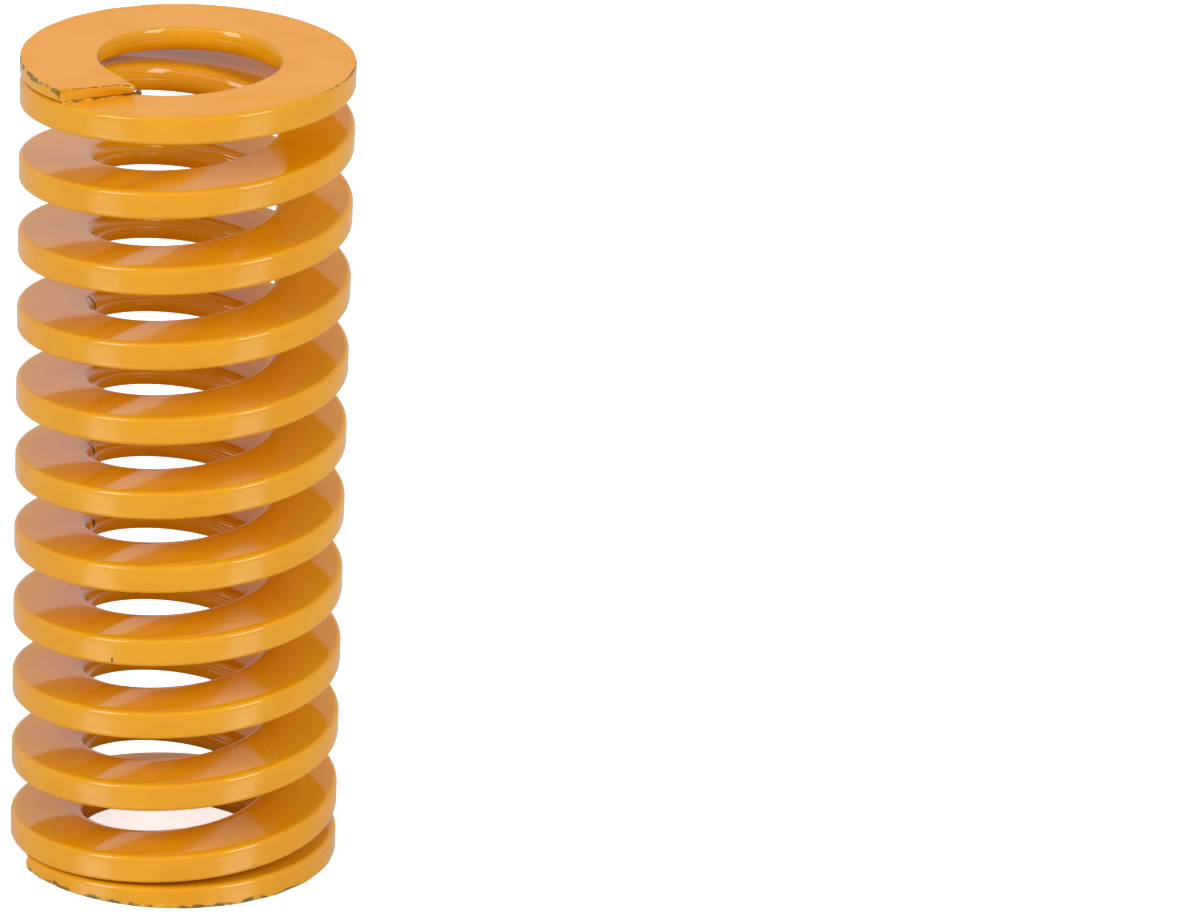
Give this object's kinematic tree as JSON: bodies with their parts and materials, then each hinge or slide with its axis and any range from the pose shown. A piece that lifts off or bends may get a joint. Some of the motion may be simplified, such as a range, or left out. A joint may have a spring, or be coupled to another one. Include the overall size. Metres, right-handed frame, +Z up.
{
  "type": "die spring",
  "caption": "Helical compression spring of flat D-section wire with closed, ground ends, painted yellow-orange. It pushes back when it is pressed along its axis.",
  "frame": {"origin": "on the coil's axis, in the plane of the bottom ground end", "axes": "+Z up along the coil's axis; the bottom tip of the wire is on the -X side"},
  "size_m": [0.0196, 0.0196, 0.05],
  "materials": {
    "yellow_paint": "gloss"
  },
  "bodies": {
    "root": {"spring_coil": "yellow_paint"}
  },
  "joints": []
}
